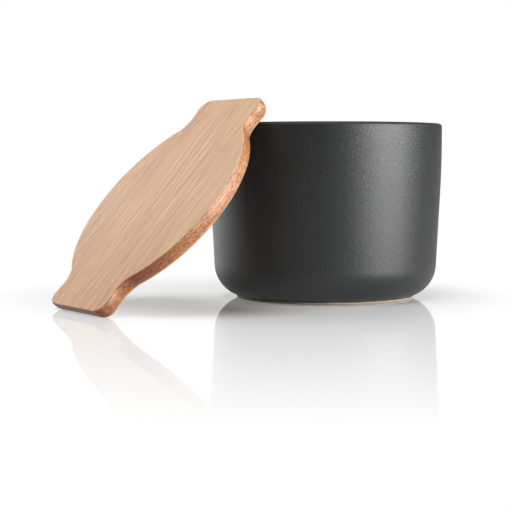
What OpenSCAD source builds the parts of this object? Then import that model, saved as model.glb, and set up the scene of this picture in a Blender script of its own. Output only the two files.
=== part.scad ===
// Salt box: a low round stoneware pot and its loose wooden lid.
// The lid is shown off the pot, leaning with its back on the pot's rim.
// Millimetres. The origin is the centre of the pot's foot, on the table, with +Z up.

/* [Pot] */
// Outer diameter at the rim
rim_d = 110; // [107:0.5:112]
// Height from the table to the top of the rim
pot_h = 82; // [76:0.5:95]
// Thickness of the wall at the mouth
wall_t = 7; // [5.5:0.5:8]
// Rounding of the rim's two edges
rim_edge_r = 1.5; // [0.5:0.1:2.5]
// Height above which the wall is plumb, outside and inside
plumb_z = 61; // [54:1:66]
// Diameter just above the curve into the bottom
base_d = 105.4; // [103:0.2:107]
// Radius of the curve from the wall into the bottom
bottom_r = 15.5; // [13:0.5:18]
// Thickness of the bottom
bottom_t = 7; // [5:0.5:9]

/* [Foot ring] */
// Outer diameter of the foot ring
foot_d = 84; // [80:0.5:86]
// Height of the foot ring, which is bare clay
foot_h = 1.2; // [1:0.1:3]
// Width of the ring that stands on the table
foot_w = 5; // [3:0.5:8]
// Depth of the hollow inside the ring
foot_hollow = 2; // [1:0.1:3]

/* [Lid] */
// Diameter of the round middle
disc_d = 99.7; // [97:0.1:101]
// Length from ear end to ear end
lid_l = 120.5; // [119:0.5:136]
// Width across each ear at its end, before the corners are rounded
ear_w = 53.7; // [51.3:0.2:64]
// Angle at which each side of an ear spreads towards its end, in degrees
ear_flare = 13.5; // [4:0.5:15.5]
// Radius of the hollow between ear and disc
neck_r = 10; // [6:0.5:11.5]
// Radius of an ear's corners
ear_corner_r = 5.8; // [5.6:0.1:6.5]
// Thickness of the board
lid_t = 7.7; // [6.7:0.1:9]
// Rounding of the edge underneath, for the fingertips
under_r = 5.5; // [2:0.1:5.7]
// Rounding of the edge on top
top_r = 0.6; // [0.3:0.1:1.5]

/* [Leaning lid] */
// Lean of the board above the table, in degrees
lean = 48.1; // [42:0.1:56]
// Direction in which the board climbs, in degrees from +X
heading = 35.2; // [20:0.1:60]
// How far the board's middle line passes beside the pot's axis
beside = 7; // [0:0.1:8]

/* [Hidden] */
// Clearance where the leaning board meets the glazed rim
rest_gap = 0.1;
// Radius of the corner between wall and bottom inside the pot
inner_corner_r = 12;
// Wall thickness low down, where the potter leaves it thinner than at the rim
low_wall_t = 6.2;
// Chamfer of the foot ring's outer edge
foot_chamfer = 0.4;
// Overshoot of cutting shapes
over = 1;
// Steps in the lid's arcs
disc_steps = 22;
neck_steps = 9;
corner_steps = 7;
under_steps = 6;
top_steps = 2;

rim_r = rim_d / 2;
mouth_r = rim_r - wall_t;
foot_r = foot_d / 2;

// Centre of the outer bottom curve, which starts on the foot ring's top edge
bottom_x = base_d / 2 - bottom_r;
bottom_z = foot_h + sqrt(pow(bottom_r, 2) - pow(foot_r - bottom_x, 2));
// Centre of the inner bottom corner
floor_z = foot_hollow + bottom_t;
inner_x = base_d / 2 - low_wall_t - inner_corner_r;
inner_z = floor_z + inner_corner_r;

// Outline of the lid, as one quarter that is mirrored twice
disc_r = disc_d / 2;
half_l = lid_l / 2;
ear_side = [cos(ear_flare), sin(ear_flare)];
ear_out = [-sin(ear_flare), cos(ear_flare)];
neck_line = [half_l, ear_w / 2] + neck_r * ear_out;
neck_run = neck_line * ear_side;
neck_gap = neck_line * neck_line - pow(disc_r + neck_r, 2);
neck_c = neck_line - (neck_run - sqrt(pow(neck_run, 2) - neck_gap)) * ear_side;
neck_dir = atan2(neck_c.y, neck_c.x);
corner_y = ear_w / 2 - ear_corner_r * (1 + sin(ear_flare)) / cos(ear_flare);
corner_c = [half_l - ear_corner_r, corner_y];

// Place of the leaning board's middle: its lower end stands on the table,
// and its underside meets the rounded outer edge of the rim
lid_z = (half_l - under_r) * sin(lean) + (lid_t / 2 - under_r) * cos(lean) + under_r;
rim_reach = (rim_r - rim_edge_r) * sin(lean) + (pot_h - rim_edge_r) * cos(lean)
    + rim_edge_r + rest_gap;
lid_run = (cos(lean) * lid_z - rim_reach - lid_t / 2) / sin(lean);

// Point on a circle round c, at an angle
function on_circle(c, r, angle) = c + r * [cos(angle), sin(angle)];

// Points along an arc, both ends included
function arc(c, r, from, to, steps) =
    [for (i = [0:steps]) on_circle(c, r, from + (to - from) * i / steps)];

// Where the line from a point touches a circle, on the circle's outer side
function tangent(p, c, r) =
    on_circle(c, r, atan2(p.y - c.y, p.x - c.x) - acos(r / norm(p - c)));

function reversed(list) = [for (i = [len(list) - 1:-1:0]) list[i]];

// One quarter of the lid's outline, drawn in by inset
function lid_quarter(inset) = concat(
    arc([0, 0], disc_r - inset, 90, neck_dir, disc_steps),
    arc(neck_c, neck_r + inset, neck_dir + 180, 270 + ear_flare, neck_steps),
    arc(corner_c, ear_corner_r - inset, 90 + ear_flare, 0, corner_steps));

// The whole outline, clockwise from the middle of the +Y side
function lid_outline(inset) =
    let (
        quarter = lid_quarter(inset),
        right = concat(quarter, [for (p = reversed(quarter)) [p.x, -p.y]]),
        last = len(right) - 1
    )
    concat(right, [for (i = [last - 1:-1:1]) [-right[i].x, right[i].y]]);

// How far each ring of the board is drawn in, and its height
under_rings = [for (i = [0:under_steps])
    let (a = 90 * i / under_steps) [under_r * (1 - sin(a)), under_r * (1 - cos(a))]];
top_rings = [for (i = [0:top_steps])
    let (a = 90 * i / top_steps) [top_r * (1 - cos(a)), lid_t - top_r * (1 - sin(a))]];
lid_rings = concat(under_rings, top_rings);

// What rounding takes off a corner at the origin, with material to its left and below
module corner_waste(r) {
    difference() {
        translate([-r, -r]) square(r + over);
        translate([-r, -r]) circle(r = r, $fn = 64);
    }
}

// Outer half of the pot's profile, filled to the axis
module pot_outer() {
    low = tangent([rim_r, plumb_z], [bottom_x, bottom_z], bottom_r);
    polygon([
        [0, 0],
        [foot_r - foot_chamfer, 0],
        [foot_r, foot_chamfer],
        [foot_r, foot_h],
        low,
        [rim_r, plumb_z],
        [rim_r, pot_h],
        [0, pot_h]
    ]);
    intersection() {
        translate([bottom_x, bottom_z]) circle(r = bottom_r, $fn = 128);
        square([rim_r, pot_h]);
    }
}

// Room inside the pot, as half a profile
module pot_inner() {
    low = tangent([mouth_r, plumb_z], [inner_x, inner_z], inner_corner_r);
    polygon([
        [0, floor_z],
        [inner_x, floor_z],
        low,
        [mouth_r, plumb_z],
        [mouth_r, pot_h + over],
        [0, pot_h + over]
    ]);
    translate([inner_x, inner_z]) circle(r = inner_corner_r, $fn = 128);
}

// One fired piece: glazed stoneware that stands on a ring of bare clay
module pot() {
    color("#2f2f31")
        rotate_extrude($fn = 180)
            difference() {
                pot_outer();
                pot_inner();
                translate([-over, -over])
                    square([foot_r - foot_w + over, foot_hollow + over]);
                translate([rim_r, pot_h]) corner_waste(rim_edge_r);
                translate([mouth_r, pot_h]) mirror([1, 0]) corner_waste(rim_edge_r);
            }
}

// The board lying flat, with its underside at z = 0
module board_flat() {
    rings = [for (ring = lid_rings)
        [for (p = lid_outline(ring[0])) [p.x, p.y, ring[1]]]];
    count = len(rings[0]);
    sides = [for (k = [0:len(rings) - 2], i = [0:count - 1])
        let (next = (i + 1) % count)
        [k * count + i, k * count + next, (k + 1) * count + next, (k + 1) * count + i]];
    bottom = [for (i = [count - 1:-1:0]) i];
    top = [for (i = [0:count - 1]) (len(rings) - 1) * count + i];
    polyhedron(points = [for (ring = rings) each ring], faces = concat([bottom, top], sides));
}

// One solid oak board: a round disc with a spreading ear at each end
module lid_board() {
    color("#d8b592")
        rotate([0, 0, heading])
            translate([lid_run, -beside, lid_z])
                rotate([0, -lean, 0])
                    translate([0, 0, -lid_t / 2])
                        board_flat();
}

pot();
lid_board();
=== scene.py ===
# %% [markdown]
# # A stoneware salt pot and its oak lid
#
# The pot is one thrown and fired piece with a matt charcoal glaze. Its lid is a loose oak
# board, shown leaning on the rim with its lower end on the table. Both are modelled here
# over a measured frame, in metres, with the centre of the pot's foot at the origin.

# %% The measured frame
import math

import bmesh
import bpy
from mathutils import Euler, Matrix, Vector


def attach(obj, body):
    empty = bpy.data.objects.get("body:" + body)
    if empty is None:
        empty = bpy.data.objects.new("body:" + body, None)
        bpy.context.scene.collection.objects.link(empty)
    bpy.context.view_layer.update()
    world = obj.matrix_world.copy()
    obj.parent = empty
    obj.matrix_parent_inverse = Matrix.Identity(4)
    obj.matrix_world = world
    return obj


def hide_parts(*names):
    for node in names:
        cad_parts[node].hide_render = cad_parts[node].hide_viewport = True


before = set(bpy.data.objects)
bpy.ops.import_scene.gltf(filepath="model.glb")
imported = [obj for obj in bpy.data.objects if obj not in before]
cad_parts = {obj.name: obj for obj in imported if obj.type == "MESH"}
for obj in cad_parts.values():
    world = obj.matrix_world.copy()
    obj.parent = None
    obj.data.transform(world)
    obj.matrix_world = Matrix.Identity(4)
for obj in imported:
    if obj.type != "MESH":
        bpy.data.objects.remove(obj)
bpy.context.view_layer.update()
mm = 0.001

# %% [markdown]
# ## The camera
#
# The picture was taken from low down and close by. The pot's two ends and the ellipse of its
# rim settle the distance and the lens: 680 mm from the pot's axis, 65.5 mm above the table,
# tipped down by 0.068 radians. The pot stands right of the middle, so the camera is turned
# to the left by what 69 of the picture's 512 columns make through a 100 mm lens.

# %% Camera
picture_columns = 512
focal_columns = 1424.6
columns_left = 68.99
tipped_down = 0.068
sensor_width = 36
bpy.ops.object.camera_add(
    location=(0, -680 * mm, 65.5 * mm),
    rotation=(math.pi / 2 - tipped_down, 0, math.atan(columns_left / focal_columns)),
)
camera = bpy.context.object
camera.data.sensor_width = sensor_width
camera.data.lens = sensor_width * focal_columns / picture_columns
bpy.context.scene.camera = camera
print("lens", round(camera.data.lens, 1), "mm")

# %% [markdown]
# ## A pencil for outlines
#
# A turned or sawn shape starts as a line. The pencil is one point that is extruded for a
# straight stroke and spun for an arc, so every arc is a true one with its own centre. It
# begins as a small ring of points that are merged into one.

# %% Pencil
def put_pencil(name, at):
    bpy.ops.object.select_all(action="DESELECT")
    bpy.ops.mesh.primitive_circle_add(vertices=3, radius=1 * mm, location=(0, 0, 0))
    drawn = bpy.context.object
    drawn.name = drawn.data.name = name
    bpy.ops.object.mode_set(mode="EDIT")
    bpy.ops.mesh.select_all(action="SELECT")
    bpy.ops.mesh.merge(type="CENTER")
    bpy.ops.transform.translate(value=at)
    return drawn


def pencil_tip():
    points = bmesh.from_edit_mesh(bpy.context.object.data).verts
    return next(p.co.copy() for p in points if p.select)


print("made: put_pencil and pencil_tip")

# %% [markdown]
# ### Strokes and arcs
#
# A stroke goes straight from the pencil's tip to a point. An arc goes round its centre,
# counter-clockwise where the axis points at you. Blender's spin tool turns the other way,
# so it is given the negative angle.

# %% Stroke and sweep
def stroke(to):
    step = Vector(to) - pencil_tip()
    bpy.ops.mesh.extrude_region_move(TRANSFORM_OT_translate={"value": step})


def sweep(centre, axis, degrees, steps):
    bpy.ops.mesh.spin(
        steps=steps, angle=-math.radians(degrees), center=centre, axis=axis
    )


towards_us = (0, -1, 0)
upright = (0, 0, 1)
print("made: stroke and sweep; arcs turn about", towards_us, "or", upright)

# %% [markdown]
# ## The pot
#
# On the real pot the wall is thrown plumb for its upper part and leans in a little below,
# then turns into the bottom on a generous curve. The bottom ends on a low foot ring. Half of
# that section is drawn once, from the middle of the floor inside, over the rim, and round to
# the hollow under the foot, then spun about the pot's axis as on the wheel. A cylinder with
# its loops pushed about would do too, but in a section every radius is where it was measured.

# %% Sizes of the pot
rim_r = 55 * mm
mouth_r = 48 * mm
pot_h = 82 * mm
rim_edge = 1.5 * mm  # rounding of the rim's two edges
plumb_z = 61 * mm  # the wall is plumb above this height
base_r = 52.7 * mm  # outside, just above the curve into the bottom
bottom_r = 15.5 * mm  # radius of that curve
low_wall = 6.2 * mm  # thickness low down
corner_r = 12 * mm  # radius of the corner inside
floor_z = 9 * mm  # the floor inside
foot_r = 42 * mm
foot_h = 1.2 * mm
foot_w = 5 * mm  # width of the ring that stands on the table
foot_hollow = 2 * mm  # depth of the hollow inside it
foot_chamfer = 0.4 * mm
print("mouth", round(2 * mouth_r / mm), "mm, wall", round((rim_r - mouth_r) / mm), "mm")

# %% [markdown]
# ### Where the straights meet the curves
#
# The leaning wall touches the bottom curve, outside and inside, and a line that touches a
# circle meets it at a right angle to its radius. That gives the angle at which each curve
# starts. The outer curve ends where it reaches the top of the foot ring.

# %% Curve centres and angles
bottom_x = base_r - bottom_r
bottom_z = foot_h + math.sqrt(bottom_r**2 - (foot_r - bottom_x) ** 2)
inner_x = base_r - low_wall - corner_r
inner_z = floor_z + corner_r


def tangent_angle(x, z, centre_x, centre_z, r):
    dx, dz = x - centre_x, z - centre_z
    return math.atan2(dz, dx) - math.acos(r / math.hypot(dx, dz))


outer_turn = tangent_angle(rim_r, plumb_z, bottom_x, bottom_z, bottom_r)
inner_turn = tangent_angle(mouth_r, plumb_z, inner_x, inner_z, corner_r)
foot_turn = math.atan2(foot_h - bottom_z, foot_r - bottom_x)
print("lean of the lower wall", round(math.degrees(-outer_turn), 2), "degrees")

# %% [markdown]
# ### The soft bend in the wall
#
# The wall's change from plumb to leaning is soft on the thrown pot. It is drawn as one long
# arc that touches both straights, because a crease there would cut the highlight in two.
# The arc reaches 12 mm up and 12 mm down the wall.

# %% Bend
bend = 12 * mm
bend_top = plumb_z + bend
inner_lean = abs(inner_turn)
outer_lean = abs(outer_turn)
inner_bend_r = bend / math.tan(inner_lean / 2)
outer_bend_r = bend / math.tan(outer_lean / 2)
print("radius of the outer bend", round(outer_bend_r / mm), "mm")

# %% [markdown]
# ### The section, inside
#
# The pencil starts on the axis, runs out along the floor, turns up through the corner, and
# climbs the leaning wall, the bend and the plumb wall to just below the mouth's edge.

# %% Inside of the pot
pot = put_pencil("pot_stoneware", (0, 0, floor_z))
stroke((inner_x, 0, floor_z))
corner_degrees = 90 + math.degrees(inner_turn)
sweep((inner_x, 0, inner_z), towards_us, corner_degrees, steps=14)
bend_foot_x = mouth_r - bend * math.sin(inner_lean)
stroke((bend_foot_x, 0, plumb_z - bend * math.cos(inner_lean)))
bend_degrees = math.degrees(inner_lean)
sweep((mouth_r - inner_bend_r, 0, bend_top), towards_us, bend_degrees, steps=8)
stroke((mouth_r, 0, pot_h - rim_edge))
print("inside ends at", pencil_tip())

# %% [markdown]
# ### The section, over the rim and down outside
#
# The rim is flat with two small roundings, as a wet sponge leaves it. Outside, the same
# bend and the large bottom curve bring the wall down to the foot ring.

# %% Rim and outside of the pot
sweep((mouth_r + rim_edge, 0, pot_h - rim_edge), towards_us, -90, steps=6)
stroke((rim_r - rim_edge, 0, pot_h))
sweep((rim_r - rim_edge, 0, pot_h - rim_edge), towards_us, -90, steps=6)
stroke((rim_r, 0, bend_top))
bend_degrees = -math.degrees(outer_lean)
sweep((rim_r - outer_bend_r, 0, bend_top), towards_us, bend_degrees, steps=8)
bottom_start_x = bottom_x + bottom_r * math.cos(outer_turn)
bottom_start_z = bottom_z + bottom_r * math.sin(outer_turn)
stroke((bottom_start_x, 0, bottom_start_z))
bottom_degrees = math.degrees(foot_turn - outer_turn)
sweep((bottom_x, 0, bottom_z), towards_us, bottom_degrees, steps=20)
print("bottom curve ends at", pencil_tip())

# %% [markdown]
# ### The foot ring, and the turn of the wheel
#
# The ring has a small chamfer outside and a shallow hollow inside. Then the whole section is
# spun once round. Its first and last copy fall together on the axis and at the seam, so
# doubles are merged before the faces are turned outwards.

# %% Foot and spin
stroke((foot_r, 0, foot_chamfer))
stroke((foot_r - foot_chamfer, 0, 0))
stroke((foot_r - foot_w, 0, 0))
stroke((foot_r - foot_w, 0, foot_hollow))
stroke((0, 0, foot_hollow))
bpy.ops.mesh.select_all(action="SELECT")
bpy.ops.mesh.spin(steps=192, angle=2 * math.pi, center=(0, 0, 0), axis=(0, 0, 1))
bpy.ops.mesh.select_all(action="SELECT")
bpy.ops.mesh.remove_doubles(threshold=0.002 * mm)
bpy.ops.mesh.normals_make_consistent(inside=False)
bpy.ops.object.mode_set(mode="OBJECT")
smooth_below = math.radians(30)
bpy.ops.object.shade_smooth_by_angle(angle=smooth_below)
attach(pot, "pot")
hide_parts("pot")
print("pot:", len(pot.data.polygons), "faces,", tuple(pot.dimensions))

# %% [markdown]
# ## The lid's outline
#
# The lid is sawn from one board. Its middle is a disc, and at each end an ear spreads like a
# fish's tail to give the fingers a hold. One quarter of the outline is three arcs that touch
# each other or a straight: the disc, the hollow of the neck and the ear's corner. The quarter
# is drawn once and mirrored twice. A disc joined to two blocks would leave ragged edges at
# the necks, and one clean outline can be bevelled all round.

# %% Sizes of the lid
disc_r = 49.85 * mm
half_l = 60.25 * mm
ear_half = 26.85 * mm  # half the ear's width at its end, before the corners are rounded
flare = math.radians(13.5)  # how far each side of an ear turns away from the length
neck_r = 10 * mm
ear_corner = 5.8 * mm
lid_t = 7.7 * mm
under_r = 5.5 * mm
top_r = 0.6 * mm
print("lid", round(2 * half_l / mm, 1), "mm long and", round(lid_t / mm, 1), "mm thick")

# %% [markdown]
# ### Centres of the neck and the corner
#
# The neck's hollow touches the ear's side from outside and the disc from outside. So its
# centre lies one neck radius off the ear's side, and a disc radius and a neck radius from the
# middle: a line and a circle that cross. The corner's centre follows from the ear's end.

# %% Neck and corner
side_way = Vector((math.cos(flare), math.sin(flare)))
side_out = Vector((-math.sin(flare), math.cos(flare)))
neck_start = Vector((half_l, ear_half)) + neck_r * side_out
run = neck_start.dot(side_way)
gap = neck_start.dot(neck_start) - (disc_r + neck_r) ** 2
neck_c = neck_start - (run - math.sqrt(run**2 - gap)) * side_way
neck_turn = math.degrees(math.atan2(neck_c.y, neck_c.x))
corner_y = ear_half - ear_corner * (1 + math.sin(flare)) / math.cos(flare)
corner_c = Vector((half_l - ear_corner, corner_y))
print("neck centre", neck_c, "corner centre", corner_c)

# %% [markdown]
# ### One quarter, mirrored both ways
#
# The pencil starts at the top of the disc and goes round to the neck, through its hollow, up
# the ear's side, round the corner and down the ear's end to the middle line. A Mirror
# modifier makes the other three quarters and joins them.

# %% Quarter outline
level = lid_t / 2
flare_degrees = math.degrees(flare)
lid = put_pencil("lid_oak", (0, disc_r, level))
sweep((0, 0, level), upright, -(90 - neck_turn), steps=30)
sweep((neck_c.x, neck_c.y, level), upright, 90 + flare_degrees - neck_turn, steps=14)
corner_start = corner_c + ear_corner * side_out
stroke((corner_start.x, corner_start.y, level))
sweep((corner_c.x, corner_c.y, level), upright, -(90 + flare_degrees), steps=10)
stroke((half_l, 0, level))
bpy.ops.object.mode_set(mode="OBJECT")
hair = 0.01 * mm
mirror = lid.modifiers.new("both ways", "MIRROR")
mirror.use_axis = (True, True, False)
mirror.merge_threshold = hair
bpy.ops.object.modifier_apply(modifier=mirror.name)
print("outline points:", len(lid.data.vertices))

# %% [markdown]
# ## The lid's thickness and edges
#
# The outline is filled and pulled down to the board's thickness. A router takes 0.6 mm off the
# edge on top, and rounds the edge underneath by 5.5 mm so that fingertips slip under the
# board. Both are bevels on the loops of edges, which are picked by their height.

# %% Thickness and roundings
def pick_edges(height):
    bpy.ops.mesh.select_all(action="DESELECT")
    bpy.ops.mesh.select_mode(type="EDGE")
    shape = bmesh.from_edit_mesh(lid.data)
    for edge in shape.edges:
        edge.select = all(abs(p.co.z - height) < hair for p in edge.verts)
    shape.select_flush_mode()
    bmesh.update_edit_mesh(lid.data)


bpy.ops.object.mode_set(mode="EDIT")
bpy.ops.mesh.select_all(action="SELECT")
bpy.ops.mesh.edge_face_add()
bpy.ops.mesh.extrude_region_move(TRANSFORM_OT_translate={"value": (0, 0, -lid_t)})
bpy.ops.mesh.select_all(action="SELECT")
bpy.ops.mesh.normals_make_consistent(inside=False)
pick_edges(level)
bpy.ops.mesh.bevel(offset=top_r, segments=4, affect="EDGES", clamp_overlap=False)
pick_edges(-level)
bpy.ops.mesh.bevel(offset=under_r, segments=12, affect="EDGES", clamp_overlap=False)
print("rounded by", round(top_r / mm, 1), "and", round(under_r / mm, 1), "mm")

# %% [markdown]
# ### Flat faces that look flat
#
# Smooth shading averages the normals at each corner, so a flat face would shade as if it
# were curved beside a rounding. A narrow inset inside both large faces holds that to its own
# width. The two faces are picked by their direction and their size.

# %% Insets
def pick_flat(direction):
    bpy.ops.mesh.select_all(action="DESELECT")
    bpy.ops.mesh.select_mode(type="FACE")
    shape = bmesh.from_edit_mesh(lid.data)
    shape.normal_update()
    large = 1e-4  # square metres, which is 100 square millimetres
    for face in shape.faces:
        face.select = face.normal.z * direction > 0.999 and face.calc_area() > large
    bmesh.update_edit_mesh(lid.data)


for direction in (1, -1):
    pick_flat(direction)
    bpy.ops.mesh.inset(thickness=0.3 * mm)
bpy.ops.object.mode_set(mode="OBJECT")
bpy.ops.object.shade_smooth_by_angle(angle=smooth_below)
print("board:", len(lid.data.polygons), "faces,", tuple(lid.dimensions))

# %% [markdown]
# ## Leaning the lid
#
# The board stands on the rounded lower edge of one ear and its underside touches the rounded
# outer edge of the rim. Those two contacts, the lean of 48.1 degrees and the heading of 35.2
# degrees settle where its middle is. It clears the rim by a tenth of a millimetre. The turn
# is applied to the mesh, so that the object itself sits at the origin.

# %% Lean
lean = math.radians(48.1)
heading = math.radians(35.2)
beside = 7 * mm  # how far the board's middle line passes beside the pot's axis
rest_gap = 0.1 * mm
up, flat = math.sin(lean), math.cos(lean)
mid_z = (half_l - under_r) * up + (lid_t / 2 - under_r) * flat + under_r
reach = (rim_r - rim_edge) * up + (pot_h - rim_edge) * flat
reach += rim_edge + rest_gap
mid_run = (flat * mid_z - reach - lid_t / 2) / up
turn = Euler((0, -lean, heading))
middle = Euler((0, 0, heading)).to_matrix() @ Vector((mid_run, -beside, mid_z))
lid.rotation_euler = turn
lid.location = middle
bpy.ops.object.transform_apply(location=True, rotation=True, scale=True)
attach(lid, "lid")
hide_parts("lid_board")
print("middle of the board", middle)

# %% [markdown]
# ## Colours and nodes
#
# Colours are written as the sRGB hex values that a colour picker shows, and turned to linear
# light in one place. One helper adds a node with its settings and links. A socket is given
# by its name, or by its number where several share a name. A Mix node has sockets for every
# kind of value: for colours, the share of the second is socket 0, the two colours are 6 and
# 7, and the mixed colour is output 2.

# %% Helpers for materials
def linear(hex_colour):
    parts = [int(hex_colour[i : i + 2], 16) / 255 for i in (1, 3, 5)]
    return tuple(
        p / 12.92 if p <= 0.04045 else ((p + 0.055) / 1.055) ** 2.4 for p in parts
    ) + (1,)


def add(tree, kind, settings=None, sockets=None):
    made = tree.nodes.new(kind)
    for key, value in (settings or {}).items():
        setattr(made, key, value)
    for key, value in (sockets or {}).items():
        if isinstance(value, bpy.types.NodeSocket):
            tree.links.new(value, made.inputs[key])
        else:
            made.inputs[key].default_value = value
    return made


def new_material(name):
    material = bpy.data.materials.new(name)
    material.use_nodes = True
    material.node_tree.nodes.clear()
    return material, material.node_tree


share, first, second, mixed = 0, 6, 7, 2
print("mid grey #808080 is", round(linear("#808080")[0], 3), "in linear light")

# %% [markdown]
# ## Matt charcoal glaze
#
# A matt stoneware glaze is full of fine crystals, so it spreads a window's reflection into a
# broad soft band and shows no sharp image. Its colour wanders a little with its thickness, in
# soft clouds about 15 mm across. Noise in the pot's own space makes them, because it needs no
# picture and has no seam.

# %% Clouds in the glaze
glaze_material, glaze = new_material("matt_charcoal_glaze")
on_pot = add(glaze, "ShaderNodeTexCoord").outputs["Object"]
clouds_per_metre = 65
cloud = add(
    glaze,
    "ShaderNodeTexNoise",
    sockets={"Vector": on_pot, "Scale": clouds_per_metre, "Detail": 3},
)
tone = add(
    glaze,
    "ShaderNodeMix",
    {"data_type": "RGBA"},
    {share: cloud.outputs[0], first: linear("#111213"), second: linear("#17181a")},
)
print("clouds", round(1000 / clouds_per_metre, 1), "mm across")

# %% [markdown]
# ### Crystals
#
# The crystals show as lighter and darker specks. Real ones are far too fine to show in the
# picture, so they are drawn coarser, from about 1.4 mm down to 0.1 mm. They make the clouds'
# colour up to a quarter darker or lighter.

# %% Specks
crystals_per_metre = 700
crystal = add(
    glaze,
    "ShaderNodeTexNoise",
    sockets={
        "Vector": on_pot, "Scale": crystals_per_metre, "Detail": 4, "Roughness": 0.8
    },
)
speck = add(
    glaze,
    "ShaderNodeMapRange",
    sockets={
        "Value": crystal.outputs[0],
        "From Min": 0.3, "From Max": 0.7, "To Min": 0.75, "To Max": 1.25,
    },
)
charcoal = add(
    glaze,
    "ShaderNodeVectorMath",
    {"operation": "SCALE"},
    {0: tone.outputs[mixed], "Scale": speck.outputs[0]},
)
print("crystals", round(1000 / crystals_per_metre, 1), "mm across")

# %% [markdown]
# ### The glaze line
#
# The foot ring is wiped clean before firing, so the glaze ends on a line about 1 mm up. The
# sponge leaves it uneven by a few tenths of a millimetre. Glaze and clay could be two pieces,
# but they are one surface on the real pot. So a slow noise gives the line's height, and the
# height above it decides between the two finishes, over a soft step of 0.15 mm.

# %% Glaze line
line_low, line_high = 0.7 * mm, 1.2 * mm
wavers_per_metre = 90
height = add(glaze, "ShaderNodeSeparateXYZ", sockets={0: on_pot}).outputs["Z"]
waver = add(
    glaze,
    "ShaderNodeTexNoise",
    sockets={"Vector": on_pot, "Scale": wavers_per_metre, "Detail": 1},
)
line = add(
    glaze,
    "ShaderNodeMapRange",
    sockets={"Value": waver.outputs[0], "To Min": line_low, "To Max": line_high},
)
above = add(
    glaze, "ShaderNodeMath", {"operation": "SUBTRACT"}, {0: height, 1: line.outputs[0]}
)
glazed = add(
    glaze,
    "ShaderNodeMapRange",
    {"interpolation_type": "SMOOTHSTEP"},
    {"Value": above.outputs[0], "From Min": -0.05 * mm, "From Max": 0.1 * mm},
)
print("the glaze ends", line_low / mm, "to", line_high / mm, "mm above the table")

# %% [markdown]
# ### The hollow under the foot
#
# The hollow inside the ring is bare as well. A point lies there when it is nearer the pot's
# axis than the ring's inner side, and low down. Setting its height to zero and taking the
# length of what is left gives the distance from the axis.

# %% Bare hollow
bare_within = foot_r - foot_w + 0.2 * mm
bare_below = foot_hollow + 1 * mm
flattened = add(
    glaze, "ShaderNodeVectorMath", {"operation": "MULTIPLY"}, {0: on_pot, 1: (1, 1, 0)}
)
off_axis = add(
    glaze, "ShaderNodeVectorMath", {"operation": "LENGTH"}, {0: flattened.outputs[0]}
)
inside_ring = add(
    glaze,
    "ShaderNodeMath",
    {"operation": "LESS_THAN"},
    {0: off_axis.outputs["Value"], 1: bare_within},
)
low_down = add(
    glaze,
    "ShaderNodeMath",
    {"operation": "LESS_THAN"},
    {0: height, 1: bare_below},
)
bare_hollow = add(
    glaze,
    "ShaderNodeMath",
    {"operation": "MULTIPLY"},
    {0: inside_ring.outputs[0], 1: low_down.outputs[0]},
)
glaze_here = add(
    glaze,
    "ShaderNodeMath",
    {"operation": "SUBTRACT", "use_clamp": True},
    {0: glazed.outputs[0], 1: bare_hollow.outputs[0]},
).outputs[0]
print("bare within", round(bare_within / mm, 1), "mm of the axis, below", bare_below / mm)

# %% [markdown]
# ### Bare clay
#
# Unglazed stoneware is tan, dull and slightly gritty. Grains from about 0.7 mm down mix two
# tans, and the glaze covers them wherever it reaches.

# %% Clay
grains_per_metre = 1500
grit = add(
    glaze,
    "ShaderNodeTexNoise",
    sockets={
        "Vector": on_pot, "Scale": grains_per_metre, "Detail": 4, "Roughness": 0.7
    },
)
clay = add(
    glaze,
    "ShaderNodeMix",
    {"data_type": "RGBA"},
    {share: grit.outputs[0], first: linear("#867563"), second: linear("#aa9782")},
)
pot_colour = add(
    glaze,
    "ShaderNodeMix",
    {"data_type": "RGBA"},
    {share: glaze_here, first: clay.outputs[mixed], second: charcoal.outputs[0]},
)
print("grains", round(1000 / grains_per_metre, 1), "mm across")

# %% [markdown]
# ### The fired surface
#
# The crystals make the glaze matt. On top of the rim it runs thin and fires dry, so it is
# duller there, and bare clay is duller still. Roughness goes up with the height near the rim,
# and over to the clay's where the glaze ends.

# %% Gloss of the pot
matt, dry, dull_clay = 0.45, 0.75, 0.85
towards_rim = add(
    glaze,
    "ShaderNodeMapRange",
    {"interpolation_type": "SMOOTHSTEP"},
    {
        "Value": height,
        "From Min": 80.4 * mm, "From Max": 81.6 * mm, "To Min": matt, "To Max": dry,
    },
)
pot_roughness = add(
    glaze,
    "ShaderNodeMapRange",
    sockets={"Value": glaze_here, "To Min": dull_clay, "To Max": towards_rim.outputs[0]},
)
print("roughness", matt, "on the wall,", dry, "on the rim,", dull_clay, "on clay")

# %% [markdown]
# ### The pot's relief and shader
#
# The crystals stand out of the surface as well. Their relief is drawn 0.15 mm high, higher
# than real, so that it breaks up the highlight as it does in the picture. Glaze is a glass
# with an index near 1.5.

# %% Surface of the pot
crystal_relief = add(
    glaze,
    "ShaderNodeBump",
    sockets={"Strength": 0.8, "Distance": 0.15 * mm, "Height": crystal.outputs[0]},
)
fired = add(
    glaze,
    "ShaderNodeBsdfPrincipled",
    sockets={
        "Base Color": pot_colour.outputs[mixed],
        "Roughness": pot_roughness.outputs[0],
        "IOR": 1.5,
        "Normal": crystal_relief.outputs[0],
    },
)
add(glaze, "ShaderNodeOutputMaterial", sockets={"Surface": fired.outputs[0]})
pot.data.materials.clear()
pot.data.materials.append(glaze_material)
print("glaze on", pot.name, "from", len(glaze.nodes), "nodes")

# %% [markdown]
# ## Oiled oak
#
# The grain is a solid pattern in the board's own millimetres: x along the fibres, y across
# the board and z through it. A Mapping node takes the leaning board back to that level
# place. Because the pattern is solid, the same rings and pores come out as dots and arcs
# where the saw crosses the fibres, which a pattern painted on each face wouldn't do.

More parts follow.
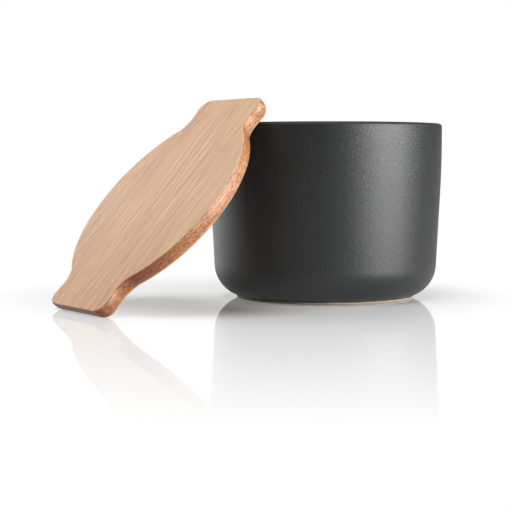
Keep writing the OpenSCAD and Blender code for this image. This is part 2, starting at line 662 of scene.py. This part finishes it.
# %% The board's own millimetres
oak_material, oak = new_material("oiled_oak")
on_lid = add(oak, "ShaderNodeTexCoord")
board = add(
    oak,
    "ShaderNodeMapping",
    {"vector_type": "TEXTURE"},
    {
        "Vector": on_lid.outputs["Object"],
        "Location": middle,
        "Rotation": turn,
        "Scale": (mm, mm, mm),
    },
).outputs[0]
print("the board's middle goes back to the origin from", middle)

# %% [markdown]
# ### Fibres that wander
#
# Fibres are never quite straight. A slow noise moves the whole pattern sideways by about a
# millimetre over the board's length, and all that follows is drawn on the moved place.

# %% Wandering fibres
waves_per_mm = (0.012, 0.02, 0.02)
slowly = add(
    oak, "ShaderNodeVectorMath", {"operation": "MULTIPLY"}, {0: board, 1: waves_per_mm}
)
drift = add(
    oak,
    "ShaderNodeTexNoise",
    sockets={"Vector": slowly.outputs[0], "Scale": 1, "Detail": 1},
)
sideways = (0, 6, 6)
wandering = add(
    oak,
    "ShaderNodeVectorMath",
    {"operation": "MULTIPLY_ADD"},
    {0: drift.outputs["Color"], 1: sideways, 2: board},
).outputs[0]
along_board = add(oak, "ShaderNodeSeparateXYZ", sockets={0: wandering})
print("moved sideways by up to", max(sideways), "mm times the noise")

# %% [markdown]
# ### Growth rings
#
# A tree grows one ring a year, thin shells round its heart. The heart of this one lay 70 mm
# beside and 95 mm below the board. So the rings cross its face at a slant, as in a board that
# was sawn some way off the middle of the trunk. First comes the distance from the heart.

# %% Distance from the heart
heart_beside, heart_below = 70, 95
to_heart_y = add(
    oak,
    "ShaderNodeMath",
    {"operation": "ADD"},
    {0: along_board.outputs["Y"], 1: heart_beside},
)
to_heart_z = add(
    oak,
    "ShaderNodeMath",
    {"operation": "ADD"},
    {0: along_board.outputs["Z"], 1: heart_below},
)
to_heart = add(
    oak,
    "ShaderNodeCombineXYZ",
    sockets={0: to_heart_y.outputs[0], 1: to_heart_z.outputs[0]},
)
from_heart = add(
    oak, "ShaderNodeVectorMath", {"operation": "LENGTH"}, {0: to_heart.outputs[0]}
)
print("heart", round(math.hypot(heart_beside, heart_below)), "mm from the board's middle")

# %% [markdown]
# ### Early and late wood
#
# The rings are 2.6 mm apart. The distance from the heart, counted in rings, has a fraction
# that runs from 0 to 1 through each year. Early wood is the first half, and fades into late
# wood.

# %% Early wood
ring_width = 2.6
years = add(
    oak,
    "ShaderNodeMath",
    {"operation": "DIVIDE"},
    {0: from_heart.outputs["Value"], 1: ring_width},
)
season = add(oak, "ShaderNodeMath", {"operation": "FRACT"}, {0: years.outputs[0]})
early = add(
    oak,
    "ShaderNodeMapRange",
    {"interpolation_type": "SMOOTHSTEP"},
    {
        "Value": season.outputs[0],
        "From Min": 0.0, "From Max": 0.55, "To Min": 1.0, "To Max": 0.0,
    },
).outputs[0]
print("rings", ring_width, "mm apart")

# %% [markdown]
# ### Fibres, threads, bands and pores
#
# All four are noise that is drawn out along the fibres, and they differ in size. Fibres are
# the streaks that one sees first, threads lie between them, bands are broad changes of tone,
# and pores are short dashes. Real threads and pores are 0.2 to 0.3 mm wide, too fine to show
# in the picture, so they are drawn about 0.4 mm wide. A loop makes all four from one table.

# %% Four drawn-out noises
# repeats per millimetre along and across the fibres, detail, roughness
layers = {
    "fibre": (0.016, 1.1, 3, 0.6),
    "thread": (0.025, 2.3, 2, 0.7),
    "band": (0.006, 0.085, 2, 0.5),
    "pore": (0.11, 2.6, 1, 0.5),
}
grain = {}
for name, (along, sidewise, detail, roughness) in layers.items():
    drawn_out = add(
        oak,
        "ShaderNodeVectorMath",
        {"operation": "MULTIPLY"},
        {0: wandering, 1: (along, sidewise, sidewise)},
    )
    grain[name] = add(
        oak,
        "ShaderNodeTexNoise",
        sockets={
            "Vector": drawn_out.outputs[0],
            "Scale": 1,
            "Detail": detail,
            "Roughness": roughness,
        },
    ).outputs[0]
    print(name, round(1 / sidewise, 2), "mm wide and", round(1 / along), "mm long")

# %% [markdown]
# ### Pores in the early wood
#
# Oak is ring-porous: its open pores gather in the early wood of each ring. Only the peaks of
# the pore noise are open, and in late wood they count for a quarter.

# %% Open pores
open_pore = add(
    oak,
    "ShaderNodeMapRange",
    {"interpolation_type": "SMOOTHSTEP"},
    {"Value": grain["pore"], "From Min": 0.58, "From Max": 0.7},
)
in_season = add(
    oak, "ShaderNodeMapRange", sockets={"Value": early, "To Min": 0.25, "To Max": 1.0}
)
pores = add(
    oak,
    "ShaderNodeMath",
    {"operation": "MULTIPLY"},
    {0: open_pore.outputs[0], 1: in_season.outputs[0]},
).outputs[0]
print("pores are open above 0.58 of their noise")

# %% [markdown]
# ### How much fibres and bands show
#
# Each layer becomes a share between 0 and the most that it may cover. The fibres mix two
# tones in full, and the broad bands cover at most 0.45.

# %% Shares of fibres and bands
fibre_light = add(
    oak,
    "ShaderNodeMapRange",
    sockets={"Value": grain["fibre"], "From Min": 0.3, "From Max": 0.7},
).outputs[0]
in_band = add(
    oak,
    "ShaderNodeMapRange",
    sockets={
        "Value": grain["band"],
        "From Min": 0.35, "From Max": 0.65, "To Min": 0.0, "To Max": 0.45,
    },
).outputs[0]
print("fibres in full, bands at most 0.45")

# %% [markdown]
# ### How much threads, early wood and pores show
#
# The highest values of the thread noise are pale threads and the lowest are dark ones. Early
# wood is only a little darker than late wood, and pores are the darkest of all.

# %% Shares of threads, early wood and pores
pale_thread = add(
    oak,
    "ShaderNodeMapRange",
    {"interpolation_type": "SMOOTHSTEP"},
    {
        "Value": grain["thread"],
        "From Min": 0.52, "From Max": 0.66, "To Min": 0.0, "To Max": 0.7,
    },
).outputs[0]
dark_thread = add(
    oak,
    "ShaderNodeMapRange",
    {"interpolation_type": "SMOOTHSTEP"},
    {
        "Value": grain["thread"],
        "From Min": 0.33, "From Max": 0.46, "To Min": 0.62, "To Max": 0.0,
    },
).outputs[0]
in_early = add(
    oak, "ShaderNodeMapRange", sockets={"Value": early, "To Min": 0.0, "To Max": 0.28}
).outputs[0]
in_pore = add(
    oak, "ShaderNodeMath", {"operation": "MULTIPLY"}, {0: pores, 1: 0.7}
).outputs[0]
print("threads at most 0.7 and 0.62, early wood 0.28, pores 0.7")

# %% [markdown]
# ### The colours of the grain
#
# Freshly oiled oak is a warm tan between two tones of its fibres. The layers are laid over it
# one after another, each pulling the colour towards its own: first the bands, then pale and
# dark threads, then early wood, and last the pores, so that nothing covers them.

# %% Grain colours
wood = add(
    oak,
    "ShaderNodeMix",
    {"data_type": "RGBA"},
    {share: fibre_light, first: linear("#c69a7b"), second: linear("#e4bd9c")},
).outputs[mixed]
for how_much, towards in (
    (in_band, "#ecc49a"),
    (pale_thread, "#f6dabc"),
    (dark_thread, "#a87a5c"),
    (in_early, "#c19472"),
    (in_pore, "#8f6547"),
):
    wood = add(
        oak,
        "ShaderNodeMix",
        {"data_type": "RGBA"},
        {share: how_much, first: wood, second: linear(towards)},
    ).outputs[mixed]
    print("laid over:", towards)

# %% [markdown]
# ### The darker lower end
#
# The board's face is painted a little darker and browner towards the end that stands on the
# table: painted shade, where the overhead lamp reaches less. The grain's colour is multiplied
# by a brown there, which fades out at the board's middle.

# %% Lower end
# painted shade: the face is darker and browner towards the lower end
painted_low_end_shade = (0.82, 0.72, 0.6, 1)
shade_towards_low_end = add(
    oak,
    "ShaderNodeMapRange",
    sockets={
        "Value": along_board.outputs["X"],
        "From Min": -55, "From Max": 0, "To Min": 1.0, "To Max": 0.0,
    },
)
face_wood = add(
    oak,
    "ShaderNodeMix",
    {"data_type": "RGBA", "blend_type": "MULTIPLY"},
    {share: shade_towards_low_end.outputs[0], first: wood, second: painted_low_end_shade},
).outputs[mixed]
print("full brown from 55 mm down the board from its middle")

# %% [markdown]
# ### Which way a surface was cut
#
# The sawn sides look different from the planed face, and the ends differ again. How far a
# surface faces out of the board, or along its fibres, is the dot product of its normal with
# that direction. Two smooth ranges turn it into a share of side and a share of end grain.

# %% Cut across the board, and across the fibres
face_way = turn.to_matrix() @ Vector((0, 0, 1))
fibre_way = turn.to_matrix() @ Vector((1, 0, 0))
on_face = add(
    oak,
    "ShaderNodeVectorMath",
    {"operation": "DOT_PRODUCT"},
    {0: on_lid.outputs["Normal"], 1: face_way},
).outputs["Value"]
on_end = add(
    oak,
    "ShaderNodeVectorMath",
    {"operation": "DOT_PRODUCT"},
    {0: on_lid.outputs["Normal"], 1: fibre_way},
).outputs["Value"]
facing_out = add(oak, "ShaderNodeMath", {"operation": "ABSOLUTE"}, {0: on_face})
facing_end = add(oak, "ShaderNodeMath", {"operation": "ABSOLUTE"}, {0: on_end})
is_side = add(
    oak,
    "ShaderNodeMapRange",
    {"interpolation_type": "SMOOTHSTEP"},
    {
        "Value": facing_out.outputs[0],
        "From Min": 0.55, "From Max": 0.95, "To Min": 1.0, "To Max": 0.0,
    },
).outputs[0]
is_end = add(
    oak,
    "ShaderNodeMapRange",
    {"interpolation_type": "SMOOTHSTEP"},
    {"Value": facing_end.outputs[0], "From Min": 0.4, "From Max": 0.85},
).outputs[0]
print("the face looks towards", face_way)

# %% [markdown]
# ### Mottled sides
#
# Round the disc and the ears the saw cuts across the fibres, and open fibres drink the oil
# unevenly. So the sides are mottled, in blots of about a millimetre with finer ones in them.

# %% Mottling
blots_per_mm = (0.8, 0.8, 1.3)
blots = add(
    oak, "ShaderNodeVectorMath", {"operation": "MULTIPLY"}, {0: board, 1: blots_per_mm}
)
mottle = add(
    oak,
    "ShaderNodeTexNoise",
    sockets={"Vector": blots.outputs[0], "Scale": 1, "Detail": 5, "Roughness": 0.7},
)
mottled = add(
    oak,
    "ShaderNodeMapRange",
    sockets={"Value": mottle.outputs[0], "From Min": 0.35, "From Max": 0.65},
).outputs[0]
print("blots", [round(1 / often, 2) for often in blots_per_mm], "mm along x, y and z")

# %% [markdown]
# ### The oiled browns of the sides, with painted shade
#
# The sides are painted darker towards the end that stands on the table, as painted shade where
# the lamps light them less. The blots mix a dark and a light brown, a shaded pair for the
# lower end and a lit pair for the rest, and a smooth range along the board goes over from one
# pair to the other.

# %% Browns of the sides
# painted shade: the lower pair is a shaded copy of the upper, lit pair
shaded_low_side = add(
    oak,
    "ShaderNodeMix",
    {"data_type": "RGBA"},
    {share: mottled, first: linear("#74553d"), second: linear("#c49b7b")},
)
lit_high_side = add(
    oak,
    "ShaderNodeMix",
    {"data_type": "RGBA"},
    {share: mottled, first: linear("#9c826b"), second: linear("#d8c0ac")},
)
towards_lit_sides = add(
    oak,
    "ShaderNodeMapRange",
    {"interpolation_type": "SMOOTHSTEP"},
    {"Value": along_board.outputs["X"], "From Min": -33, "From Max": 5},
)
oiled_and_shaded_sides = add(
    oak,
    "ShaderNodeMix",
    {"data_type": "RGBA"},
    {
        share: towards_lit_sides.outputs[0],
        first: shaded_low_side.outputs[mixed],
        second: lit_high_side.outputs[mixed],
    },
)
print("from the lower pair to the upper between 33 mm below and 5 mm above the middle")

# %% [markdown]
# ### Streaks on the sides
#
# The oiled browns are multiplied by the grain's own colour, so that rings and pores run on
# from the face. The threads streak them, darker and lighter.

# %% Streaked sides
side_wood = add(
    oak,
    "ShaderNodeMix",
    {"data_type": "RGBA", "blend_type": "MULTIPLY"},
    {share: 1.0, first: oiled_and_shaded_sides.outputs[mixed], second: wood},
)
side_streak = add(
    oak,
    "ShaderNodeMapRange",
    sockets={
        "Value": grain["thread"],
        "From Min": 0.35, "From Max": 0.65, "To Min": 0.72, "To Max": 1.25,
    },
)
streaked = add(
    oak,
    "ShaderNodeVectorMath",
    {"operation": "SCALE"},
    {0: side_wood.outputs[mixed], "Scale": side_streak.outputs[0]},
)
print("threads darken the sides to 0.72 and lighten them to 1.25")

# %% [markdown]
# ### End grain, and the whole board
#
# End grain drinks the most oil, so it is darker and redder than the rest of the sides. Then
# face and sides come together by the share of side.

# %% Face and sides together
redder = (0.78, 0.54, 0.42, 1)
sides = add(
    oak,
    "ShaderNodeMix",
    {"data_type": "RGBA", "blend_type": "MULTIPLY"},
    {share: is_end, first: streaked.outputs[0], second: redder},
)
oiled = add(
    oak,
    "ShaderNodeMix",
    {"data_type": "RGBA"},
    {share: is_side, first: face_wood, second: sides.outputs[mixed]},
)
print("end grain is multiplied by", redder[:3])

# %% [markdown]
# ### The shaded underside
#
# The underside is hidden in the picture. The pot shows hardly any warm reflection of it, so
# its colour is darkened and greyed: painted shade for the board's shadowed back. Only a
# surface that faces straight out of the board's back takes that tint.

# %% Underside
# painted shade: the underside's colour is darkened and greyed
painted_underside_shade = (0.5, 0.59, 0.68, 1)
shaded_underneath = add(
    oak,
    "ShaderNodeMapRange",
    {"interpolation_type": "SMOOTHSTEP"},
    {
        "Value": on_face,
        "From Min": -0.97, "From Max": -0.75, "To Min": 1.0, "To Max": 0.0,
    },
)
lid_colour = add(
    oak,
    "ShaderNodeMix",
    {"data_type": "RGBA", "blend_type": "MULTIPLY"},
    {share: shaded_underneath.outputs[0], first: oiled.outputs[mixed], second: painted_underside_shade},
)
print("the underside is multiplied by", painted_underside_shade[:3])

# %% [markdown]
# ### The sanded surface
#
# Sanded and oiled oak is satin, with a roughness near 0.5 and an index near 1.5. The pores
# are pits and the fibres stand a little proud of each other. Both are bumps, one after the
# other, and the first is inverted because its noise is high in a pore.

# %% Gloss and relief of the lid
pits = add(
    oak,
    "ShaderNodeBump",
    {"invert": True},
    {"Strength": 0.35, "Distance": 0.15 * mm, "Height": pores},
)
fibre_relief = add(
    oak,
    "ShaderNodeBump",
    sockets={
        "Strength": 0.25,
        "Distance": 0.08 * mm,
        "Height": grain["fibre"],
        "Normal": pits.outputs[0],
    },
)
satin = add(
    oak,
    "ShaderNodeBsdfPrincipled",
    sockets={
        "Base Color": lid_colour.outputs[mixed],
        "Roughness": 0.5,
        "IOR": 1.5,
        "Normal": fibre_relief.outputs[0],
    },
)
add(oak, "ShaderNodeOutputMaterial", sockets={"Surface": satin.outputs[0]})
lid.data.materials.clear()
lid.data.materials.append(oak_material)
print("oak on", lid.name, "from", len(oak.nodes), "nodes")

# %% [markdown]
# ## The floor
#
# The set is a white acrylic sheet in a white studio. The sheet takes the soft shadow and a
# faint reflection that dies away towards the camera. It is laid twice at one place: the
# camera sees only the first, and the object sees and is lit by only the second. So the
# lamps' mirror images can be kept out of one and left in the other. The visibility settings
# of each sheet say which rays meet it.

# %% Two sheets
def put_sheet(name, height):
    bpy.ops.object.select_all(action="DESELECT")
    bpy.ops.mesh.primitive_plane_add(size=12, location=(0, 0, height))
    sheet = bpy.context.object
    bpy.ops.object.transform_apply(location=True)
    sheet.name = sheet.data.name = name
    return sheet


seen_sheet = put_sheet("white_sheet", 0)
seen_sheet.visible_shadow = False
seen_sheet.visible_diffuse = False
seen_sheet.visible_glossy = False
seen_sheet.visible_transmission = False
mirrored_sheet = put_sheet("white_sheet_mirrored", -0.01 * mm)
mirrored_sheet.visible_camera = False
print("sheets:", seen_sheet.name, "and", mirrored_sheet.name)

# %% [markdown]
# ### The sheet's own white
#
# Near the object the sheet is lit by the lamps, so it holds the shadow, and a faint glow
# lifts it a little more near the pot than further out. The glow is only for the rays that
# look at the sheet, straight or in a mirror image, and adds no soft light to the object.

# %% Lit ground
def lit_ground(tree, from_pot, looked_at, lit_level, lifted):
    lit = add(
        tree, "ShaderNodeBsdfDiffuse", sockets={"Color": (lit_level,) * 3 + (1,)}
    )
    glow = add(
        tree,
        "ShaderNodeMapRange",
        sockets={
            "Value": from_pot,
            "From Min": 45 * mm, "From Max": 75 * mm,
            "To Min": lifted[0], "To Max": lifted[1],
        },
    )
    strength = add(
        tree, "ShaderNodeMath", {"operation": "MULTIPLY"}, {0: looked_at, 1: glow.outputs[0]}
    )
    lift = add(tree, "ShaderNodeEmission", sockets={"Strength": strength.outputs[0]})
    return add(
        tree, "ShaderNodeAddShader", sockets={0: lit.outputs[0], 1: lift.outputs[0]}
    ).outputs[0]


print("the glow changes from 45 to 75 mm off the pot's axis")

# %% [markdown]
# ### The fade to plain white
#
# Away from the shadow the sheet turns into plain white, so it has no edge and no horizon. A
# curved backdrop would do that in a studio. Here a smooth range of the distance does, again
# only for the rays that look at the sheet.

# %% Ground
def sheet_ground(tree, place, looked_at, lit):
    shadow_middle = (-35 * mm, 0, 0)
    from_shadow = add(
        tree, "ShaderNodeVectorMath", {"operation": "DISTANCE"}, {0: place, 1: shadow_middle}
    )
    far = add(
        tree,
        "ShaderNodeMapRange",
        {"interpolation_type": "SMOOTHSTEP"},
        {
            "Value": from_shadow.outputs["Value"],
            "From Min": 60 * mm, "From Max": 138 * mm,
        },
    )
    fade = add(
        tree, "ShaderNodeMath", {"operation": "MULTIPLY"}, {0: far.outputs[0], 1: looked_at}
    )
    plain = add(tree, "ShaderNodeEmission", sockets={"Strength": 1})
    return add(
        tree,
        "ShaderNodeMixShader",
        sockets={0: fade.outputs[0], 1: lit, 2: plain.outputs[0]},
    ).outputs[0]


print("plain white from 138 mm off the middle of the shadow")

# %% [markdown]
# ### How much the sheet mirrors
#
# Acrylic mirrors at a low angle and hardly at all from above, which Layer Weight's Facing
# tells. The share also changes with the distance from the pot, between two values that each
# sheet is given.

# %% Mirror share
def mirror_share(tree, from_pot, looked_at, near, far_off):
    by_distance = add(
        tree,
        "ShaderNodeMapRange",
        sockets={
            "Value": from_pot,
            "From Min": near[0], "From Max": far_off[0],
            "To Min": near[1], "To Max": far_off[1],
        },
    )
    facing = add(tree, "ShaderNodeLayerWeight", sockets={"Blend": 0.5})
    grazing = add(
        tree,
        "ShaderNodeMapRange",
        {"interpolation_type": "SMOOTHSTEP"},
        {
            "Value": facing.outputs["Facing"],
            "From Min": 0.45, "From Max": 0.78, "To Min": 0.05, "To Max": 1.0,
        },
    )
    mirroring = add(
        tree,
        "ShaderNodeMath",
        {"operation": "MULTIPLY"},
        {0: by_distance.outputs[0], 1: grazing.outputs[0]},
    )
    return add(
        tree,
        "ShaderNodeMath",
        {"operation": "MULTIPLY"},
        {0: mirroring.outputs[0], 1: looked_at},
    ).outputs[0]


print("full mirror share from a Facing of 0.78")

# %% [markdown]
# ### The two acrylics
#
# Cast acrylic is polished as it comes, so its sheen is nearly sharp, with a roughness of
# 0.02. One function makes both sheets. It takes the kind of ray that looks at the sheet, how
# white it is under the lamps, the glow near the pot and further out, and the mirror share at
# two distances.

# %% Acrylic
def make_acrylic(name, seen_by, lit_level, lifted, near, far_off):
    material, tree = new_material(name)
    place = add(tree, "ShaderNodeTexCoord").outputs["Object"]
    looked_at = add(tree, "ShaderNodeLightPath").outputs[seen_by]
    from_pot = add(
        tree, "ShaderNodeVectorMath", {"operation": "DISTANCE"}, {0: place, 1: (0, 0, 0)}
    ).outputs["Value"]
    sheen = add(
        tree,
        "ShaderNodeBsdfAnisotropic",
        sockets={"Color": (1, 1, 1, 1), "Roughness": 0.02},
    )
    lit = lit_ground(tree, from_pot, looked_at, lit_level, lifted)
    whole = add(
        tree,
        "ShaderNodeMixShader",
        sockets={
            0: mirror_share(tree, from_pot, looked_at, near, far_off),
            1: sheet_ground(tree, place, looked_at, lit),
            2: sheen.outputs[0],
        },
    )
    add(tree, "ShaderNodeOutputMaterial", sockets={"Surface": whole.outputs[0]})
    return material


print("made: make_acrylic")

# %% [markdown]
# ### One acrylic for the camera, one for the object
#
# The camera's sheet mirrors most near the pot and nothing 338 mm from it. The object's sheet
# is less white, and mirrors most further out, where the pot's side sees it.

# %% Acrylic on both sheets
seen_sheet.data.materials.append(
    make_acrylic(
        "white_acrylic",
        "Is Camera Ray",
        lit_level=0.78,
        lifted=(0.26, 0.1),
        near=(95 * mm, 0.4),
        far_off=(338 * mm, 0.0),
    )
)
mirrored_sheet.data.materials.append(
    make_acrylic(
        "white_acrylic_mirrored",
        "Is Glossy Ray",
        lit_level=0.57,
        lifted=(0.24, 0.18),
        near=(80 * mm, 0.05),
        far_off=(210 * mm, 0.35),
    )
)
print("acrylic on both sheets")

# %% [markdown]
# ## Softboxes
#
# Three softboxes light the set. The large one on the right makes the pot's broad highlight,
# the one overhead to the left lights the board's face, and a small, weak one behind on the
# left draws the bright line down the pot's left edge. Small lamps would do for the light,
# but only a large lamp gives a soft shadow and a broad highlight. Each is an area lamp that
# is turned to its aim, in metres and watts.

# %% Three softboxes
def softbox(name, at, aim, width, height, watts):
    bpy.ops.object.light_add(type="AREA", location=at)
    lamp = bpy.context.object
    lamp.name = name
    lamp.data.shape = "RECTANGLE"
    lamp.data.size = width
    lamp.data.size_y = height
    lamp.data.energy = watts
    lamp.rotation_euler = (Vector(aim) - Vector(at)).to_track_quat("-Z", "Y").to_euler()
    print(name, watts, "W,", round((Vector(aim) - Vector(at)).length, 2), "m away")
    return lamp


right_box = softbox(
    "softbox_right", (1.5, -0.78, 0.39), (0, 0, 0.05), width=1.35, height=0.76, watts=55
)
softbox(
    "softbox_overhead", (-0.4, -0.5, 1.9), (-0.03, 0, 0.04), width=1.4, height=1.4, watts=35
)
back_box = softbox(
    "softbox_behind", (-0.98, 0.85, 0.3), (0, 0, 0.05), width=1.1, height=0.5, watts=4.2
)

# %% [markdown]
# ### A flag between the side lamps and the sheet
#
# Photographers hold a black flag where a lamp would be mirrored in the table. Light linking
# is that flag: the camera's sheet is excluded from what the two side lamps light, so it
# doesn't show their mirror images from any side. The other sheet and the object keep them.

# %% Flag
flagged = bpy.data.collections.new("flagged_from_the_sheet")
flagged.objects.link(seen_sheet)
flagged.collection_objects[0].light_linking.link_state = "EXCLUDE"
for lamp in (right_box, back_box):
    lamp.light_linking.receiver_collection = flagged
    print(seen_sheet.name, "is flagged from", lamp.name)

# %% [markdown]
# ## The white room
#
# Camera and glass rays see a plain white room. A mirror ray sees it white only behind the
# object and low down. It is darker towards the camera, to the right and overhead, as in a
# studio where the walls near the lamps are black. That keeps the pot charcoal. Each axis of
# the ray's direction has its own smooth range, and the three are multiplied.

# %% The room in the glaze
world = bpy.data.worlds.new("white_room")
bpy.context.scene.world = world
world.use_nodes = True
room = world.node_tree
room.nodes.clear()
toward = add(room, "ShaderNodeTexCoord").outputs["Generated"]
way = add(room, "ShaderNodeSeparateXYZ", sockets={0: toward})
mirror_light = None
# axis of the direction, from, to, strength before and after
for axis, start, end, before, after in (
    ("Y", -0.1, 0.65, 0.03, 1.0),
    ("X", 0.15, 0.5, 1.0, 0.25),
    ("Z", 0.2, 0.7, 1.0, 0.15),
):
    part = add(
        room,
        "ShaderNodeMapRange",
        {"interpolation_type": "SMOOTHSTEP"},
        {
            "Value": way.outputs[axis],
            "From Min": start, "From Max": end, "To Min": before, "To Max": after,
        },
    ).outputs[0]
    if mirror_light is not None:
        part = add(
            room, "ShaderNodeMath", {"operation": "MULTIPLY"}, {0: mirror_light, 1: part}
        ).outputs[0]
    mirror_light = part
    print("along", axis, "the room goes from", before, "to", after)

# %% [markdown]
# ### Which rays see which room
#
# The Light Path node tells what kind of ray asks. The light that the room gives to surfaces
# is weak, so that the softboxes keep their direction. White is a strength of 1, and no ray
# sees more.

# %% World
rays = add(room, "ShaderNodeLightPath")
looks = add(
    room,
    "ShaderNodeMath",
    {"operation": "MAXIMUM"},
    {0: rays.outputs["Is Camera Ray"], 1: rays.outputs["Is Transmission Ray"]},
)
white = (1, 1, 1, 1)
mirror_room = add(
    room, "ShaderNodeBackground", sockets={"Color": white, "Strength": mirror_light}
)
given = add(room, "ShaderNodeBackground", sockets={"Color": white, "Strength": 0.12})
plain = add(room, "ShaderNodeBackground", sockets={"Color": white, "Strength": 1})
unseen = add(
    room,
    "ShaderNodeMixShader",
    sockets={
        0: rays.outputs["Is Glossy Ray"],
        1: given.outputs[0],
        2: mirror_room.outputs[0],
    },
)
whole_room = add(
    room,
    "ShaderNodeMixShader",
    sockets={0: looks.outputs[0], 1: unseen.outputs[0], 2: plain.outputs[0]},
)
add(room, "ShaderNodeOutputWorld", sockets={"Surface": whole_room.outputs[0]})
bpy.context.scene.view_settings.view_transform = "Standard"
print("room of", len(room.nodes), "nodes")
